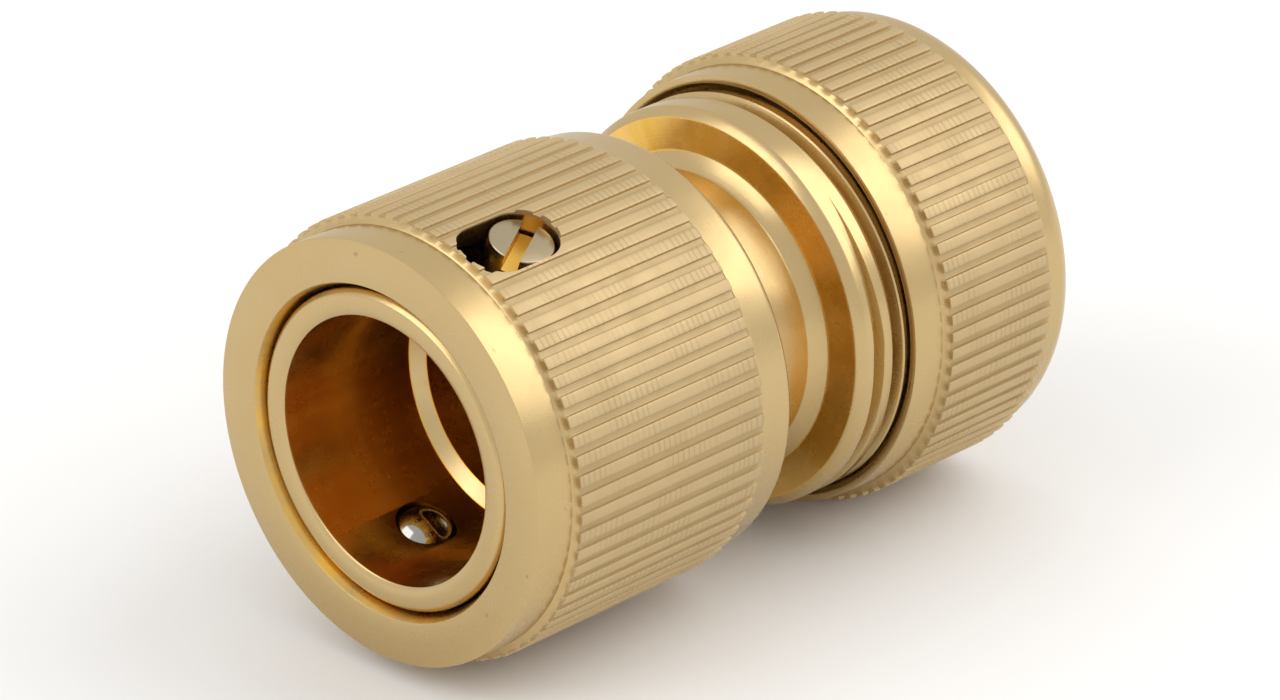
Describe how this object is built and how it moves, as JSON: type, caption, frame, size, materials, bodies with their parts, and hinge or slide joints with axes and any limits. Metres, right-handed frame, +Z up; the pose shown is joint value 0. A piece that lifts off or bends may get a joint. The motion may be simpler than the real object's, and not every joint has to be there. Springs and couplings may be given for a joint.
{
  "type": "quick release hose connector",
  "caption": "Brass hose connector with a knurled release sleeve, ball lock and a knurled clamping nut on a threaded body.",
  "frame": {"origin": "on the connector's axis, 0.6 mm inside the plug socket's mouth and 0.9 mm behind the release sleeve's front face", "axes": "+Y runs along the axis from the socket's mouth towards the hose, +Z is up with the connector lying on its side, +X completes the right hand"},
  "size_m": [0.0304, 0.0485, 0.0304],
  "materials": {
    "body_brass": "turned, satin, with fine lathe lines",
    "tail_brass": "turned",
    "washer_rubber": "matt black",
    "sleeve_brass": "satin with a straight knurl",
    "spring_steel": "drawn stainless wire",
    "screw_brass": "turned, slotted",
    "ball_steel": "polished",
    "grip_brass": "turned",
    "nut_brass": "satin with a straight knurl"
  },
  "bodies": {
    "socket": {"socket_body": "body_brass", "hose_tail": "tail_brass", "tail_washer": "washer_rubber", "guide_screw": "screw_brass", "release_spring": "spring_steel"},
    "sleeve": {"release_sleeve": "sleeve_brass"},
    "ball_1": {"lock_ball_1": "ball_steel"},
    "ball_2": {"lock_ball_2": "ball_steel"},
    "ball_3": {"lock_ball_3": "ball_steel"},
    "grip": {"grip_ring": "grip_brass"},
    "nut": {"hose_nut": "nut_brass"}
  },
  "joints": [
    {"name": "sleeve_slide", "type": "slide", "parent": "socket", "child": "sleeve", "axis": [0, 1, 0], "range_m": [0, 0.0027], "stiffness_N_per_m": 1500, "springref_m": -0.006, "deforming": ["release_spring"]},
    {"name": "ball_1_out", "type": "slide", "parent": "socket", "child": "ball_1", "axis": [-0.3256, 0, -0.9455], "range_m": [0, 0.00078]},
    {"name": "ball_2_out", "type": "slide", "parent": "socket", "child": "ball_2", "axis": [-0.6561, 0, 0.7547], "range_m": [0, 0.00078]},
    {"name": "ball_3_out", "type": "slide", "parent": "socket", "child": "ball_3", "axis": [0.9816, 0, 0.1908], "range_m": [0, 0.00078]},
    {"name": "nut_travel", "type": "slide", "parent": "socket", "child": "grip", "axis": [0, 1, 0], "range_m": [-0.00219, 0.0035]},
    {"name": "nut_turn", "type": "hinge", "parent": "grip", "child": "nut", "pos_m": [0, 0.04, 0], "axis": [0, 1, 0], "range_deg": [-450, 720]}
  ],
  "couplings": [
    {"joint": "ball_1_out", "follows": "sleeve_slide", "ratio": 0.285},
    {"joint": "ball_2_out", "follows": "sleeve_slide", "ratio": 0.285},
    {"joint": "ball_3_out", "follows": "sleeve_slide", "ratio": 0.285},
    {"joint": "nut_travel", "follows": "nut_turn", "m_per_rad": 0.00027852}
  ]
}
